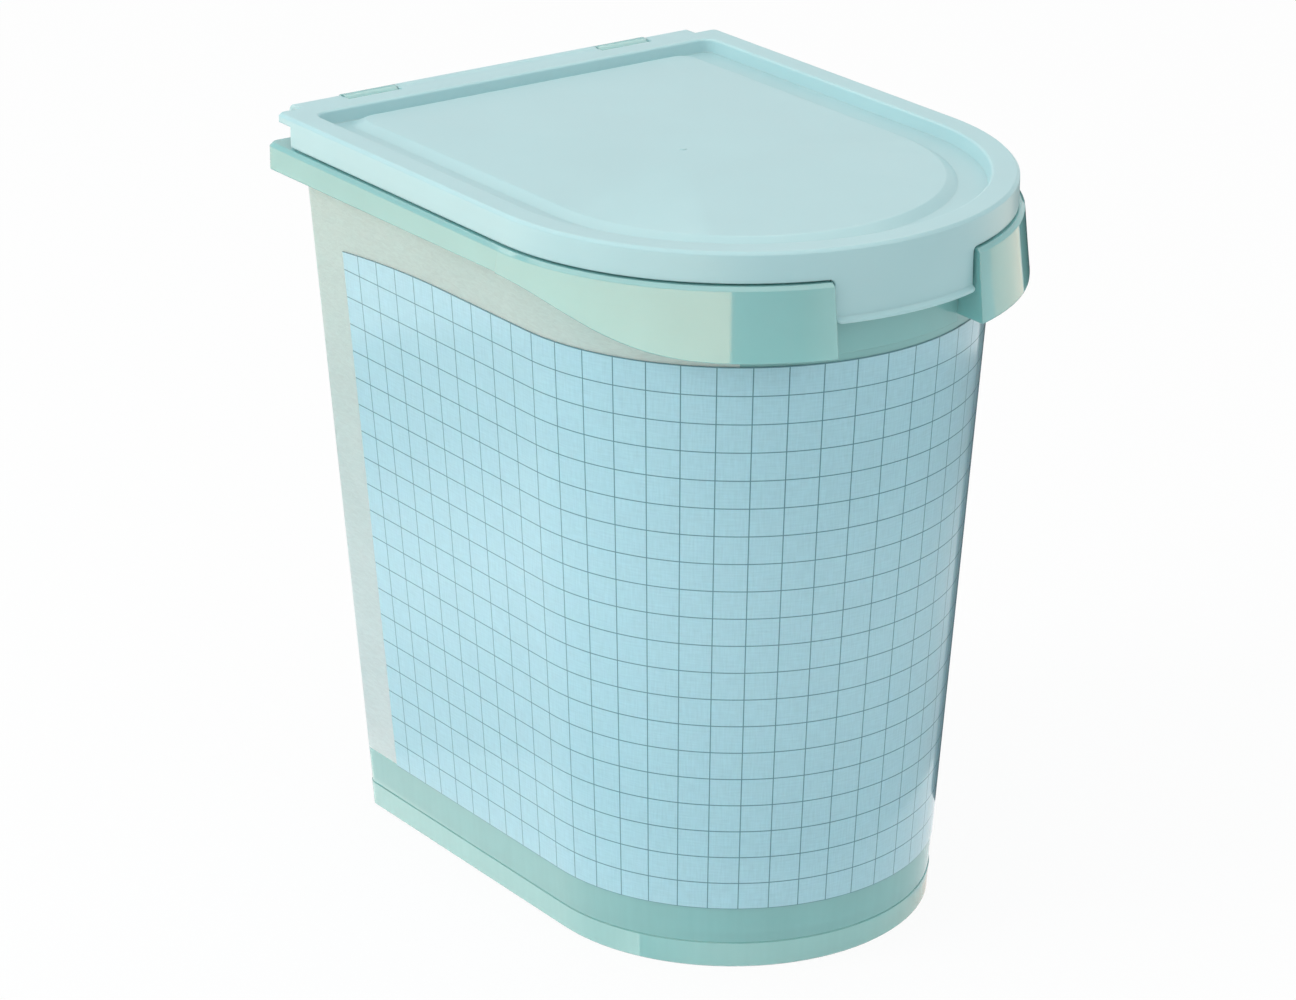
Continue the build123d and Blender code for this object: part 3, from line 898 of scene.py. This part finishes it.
    def build(self, film: Film) -> None:
        """Make the camera, the floor, the world, the lights and the cards.

        Args:
            film: The film, whose outline gives the foot's.
        """
        self.make_camera()
        self.make_floor()
        self.make_world()
        towards_key = self.direction(self.key_azimuth, self.key_elevation)
        self.make_light("key_light", towards_key, self.key_distance, self.key_size, self.key_power)
        self.make_light("top_light", Vector((0, 0, 1)), self.top_height, self.top_size, self.top_power)
        self.make_round_card(
            "left_card", self.left_card_colour, self.left_card, self.card_radius, self.card_top,
        )
        self.make_round_card(
            "front_card", self.plain_card_colour, self.front_card, self.card_radius, self.card_top,
        )
        self.make_round_card(
            "back_card", self.plain_card_colour, self.back_card, self.back_card_radius, self.back_card_top,
        )
        self.make_top_card()
        self.make_right_card()
        foot, band = (0.0, self.foot_step), (self.foot_step, self.film_bottom)
        run = self.strip_run * film.top_rear
        self.make_foot_card("foot_card_left", film, self.foot_card_left, run, foot)
        self.make_foot_card("foot_card_right", film, self.foot_card_right, 0.0, foot)
        self.make_foot_card("band_card", film, self.band_card, run, band)
        self.make_dim_floor()
        self.make_flags(film.arc_y)
        bpy.context.scene.view_settings.view_transform = "Standard"

    def make_camera(self) -> None:
        """Place the camera at the photograph's viewing angle."""
        data = bpy.data.cameras.new("camera")
        data.sensor_width = self.sensor_width
        data.lens = self.lens
        data.clip_end = self.view_length
        camera = bpy.data.objects.new("camera", data)
        back = self.direction(self.camera_azimuth, self.camera_elevation)
        level = (-back).to_track_quat("-Z", "Y").to_matrix().to_4x4()
        roll = Matrix.Rotation(self.camera_roll, 4, "Z")
        place = Vector(self.camera_target) + back * self.camera_distance
        camera.matrix_world = Matrix.Translation(place) @ level @ roll
        bpy.context.scene.collection.objects.link(camera)
        bpy.context.scene.camera = camera

    def make_floor(self) -> None:
        """Make a pale floor that looks white to the camera and keeps the container's shadow."""
        shape = bmesh.new()
        bmesh.ops.create_grid(shape, x_segments=1, y_segments=1, size=self.floor_size)
        floor = finished(shape, "floor")
        material, tree = new_material("floor_paper")
        white = add_node(tree, "Math", {0: backdrop_rays(tree), 1: self.floor_white}, operation="MULTIPLY")
        paper = add_node(tree, "BsdfDiffuse", {"Color": linear(self.floor_colour)})
        glow = add_node(tree, "Emission", {"Color": linear("#FFFFFF"), "Strength": 1.0})
        mixed = add_node(tree, "MixShader", {0: white, 1: paper, 2: glow})
        add_node(tree, "OutputMaterial", {"Surface": mixed})
        floor.data.materials.append(material)

    def make_world(self) -> None:
        """Make an even pale sky, white where the camera sees it."""
        world = bpy.data.worlds.new("studio_air")
        world.use_nodes = True
        tree = world.node_tree
        tree.nodes.clear()
        strength = add_node(
            tree, "MapRange", {"Value": backdrop_rays(tree), "To Min": self.ambient, "To Max": 1.0},
        )
        air = add_node(tree, "Background", {"Color": linear("#FFFFFF"), "Strength": strength})
        add_node(tree, "OutputWorld", {"Surface": air})
        bpy.context.scene.world = world

    def make_light(self, name: str, towards: Vector, distance: float, size: float, power: float) -> None:
        """Make a soft square light that shines on the container and isn't mirrored by it.

        Args:
            name: The light's name.
            towards: Unit vector from the container to the light.
            distance: How far away it stands.
            size: Its width.
            power: Its power in watts.
        """
        data = bpy.data.lights.new(name, "AREA")
        data.shape = "SQUARE"
        data.size = size
        data.energy = power
        lamp = bpy.data.objects.new(name, data)
        turn = (-towards).to_track_quat("-Z", "Y").to_matrix().to_4x4()
        lamp.matrix_world = Matrix.Translation(Vector(self.camera_target) + towards * distance) @ turn
        lamp.visible_glossy = False
        bpy.context.scene.collection.objects.link(lamp)

    def make_round_card(
        self, name: str, colour: str, stations: tuple[tuple[float, float, float], ...],
        radius: float, top: float,
    ) -> None:
        """Make an upright curved card around the container.

        Args:
            name: The card's name.
            colour: The colour of its glow.
            stations: For each upright line of the card, its azimuth in degrees, its lower end and its glow.
            radius: How far it stands from the middle.
            top: Height of its upper edge.
        """
        rows = []
        for azimuth, bottom, glow in stations:
            foot = self.direction(math.radians(azimuth)) * radius
            rows.append([(foot + Vector((0, 0, height)), glow) for height in (bottom, top)])
        self.make_card(name, colour, rows)

    def make_top_card(self) -> None:
        """Make the card overhead that draws light lines along the lid's edges."""
        ends = (-self.top_card_half, self.top_card_half)
        rows = [[(Vector((x, y, self.top_card_height)), self.top_card_glow) for y in ends] for x in ends]
        self.make_card("top_card", self.plain_card_colour, rows)

    def make_right_card(self) -> None:
        """Make the small card at the right that the collar mirrors beside the pull tab."""
        rows = [
            [(Vector((x, y, z)), self.right_card_glow) for z in self.right_card_ends]
            for x, y in self.right_card
        ]
        self.make_card("right_card", self.card_colour, rows)

    def make_foot_card(
        self, name: str, film: Film, glows: tuple[tuple[float, float], ...],
        straight: float, band: tuple[float, float],
    ) -> None:
        """Make a strip on the floor that a level band of the wall mirrors.

        Args:
            name: The strip's name.
            film: The film, whose outline gives the wall's.
            glows: Azimuths in degrees around the front and the glow at each.
            straight: How far the strip first runs along the straight side.
            band: Heights of the band's lower and upper edges.
        """
        camera = bpy.context.scene.camera.matrix_world.translation
        stations = [(straight, *glows[0])] if straight else []
        stations += [(0.0, azimuth, glow) for azimuth, glow in glows]
        rows = []
        for behind, azimuth, glow in stations:
            outwards = self.direction(math.radians(azimuth))
            normal = outwards * math.cos(film.side_draft) - Vector((0, 0, math.sin(film.side_draft)))
            row = []
            for height in band:
                point = outwards * film.half(height) + Vector((0, film.arc_y + behind, height))
                ray = (point - camera).normalized().reflect(normal)
                on_floor = point - ray * height / ray.z
                row.append((on_floor + Vector((0, 0, self.strip_lift)), glow))
            rows.append(row)
        self.make_card(name, self.foot_card_colour, rows)

    def make_dim_floor(self) -> None:
        """Make the ring on the floor that the film mirrors: dim far out, and darker at the right."""
        lift = Vector((0, 0, self.ring_lift))
        first, last = self.dark_side
        rows = []
        for radius, glow in self.dim_floor:
            row = []
            for azimuth in range(-180, 181, self.ring_step):
                inside = min(azimuth - first, last - azimuth) / self.dark_side_ramp
                share = 1 - (1 - self.dark_side_share) * min(1.0, max(0.0, inside))
                row.append((self.direction(math.radians(azimuth)) * radius + lift, glow * share))
            rows.append(row)
        self.make_card("dim_floor", "#FFFFFF", rows)

    def make_flags(self, arc_y: float) -> None:
        """Make the black flags behind the right edge, which draw the dark line along it.

        Args:
            arc_y: Where the centre of the round front lies.
        """
        for name, sides in (("wall_flag", self.wall_flag), ("ear_flag", self.ear_flag)):
            rows = [[(Vector(point) + Vector((0, arc_y, 0)), 0.0) for point in side] for side in sides]
            self.make_card(name, "#000000", rows)

    def make_card(self, name: str, colour: str, rows: list[list[tuple[Vector, float]]]) -> None:
        """Make a card that only mirrors see.

        Args:
            name: The card's name.
            colour: The colour of its glow.
            rows: Equal rows of points, each with its glow, that the card's faces join.
        """
        shape = bmesh.new()
        down, across = len(rows) - 1, len(rows[0]) - 1
        bmesh.ops.create_grid(shape, x_segments=down, y_segments=across, size=1.0)
        layer = shape.verts.layers.float.new(self.GLOW_MARK)
        for vert in shape.verts:
            row = rows[round((vert.co.x + 1) / 2 * down)]
            vert.co, vert[layer] = row[round((vert.co.y + 1) / 2 * across)]
        card = finished(shape, name)
        material, tree = new_material(f"{name}_glow")
        strength = add_node(tree, "Attribute", attribute_name=self.GLOW_MARK).outputs["Fac"]
        light = add_node(tree, "Emission", {"Color": linear(colour), "Strength": strength})
        add_node(tree, "OutputMaterial", {"Surface": light})
        card.data.materials.append(material)
        card.visible_camera = False
        card.visible_diffuse = False
        card.visible_transmission = False
        card.visible_shadow = False


def main() -> None:
    """Build every sub-assembly in order."""
    logging.basicConfig(level=logging.INFO, format="%(name)s: %(message)s")
    film = Film()
    Studio().build(film)
    Tub().build()
    Lid().build()
    HingePins().build()
    film.build()


if __name__ == "__main__":
    main()
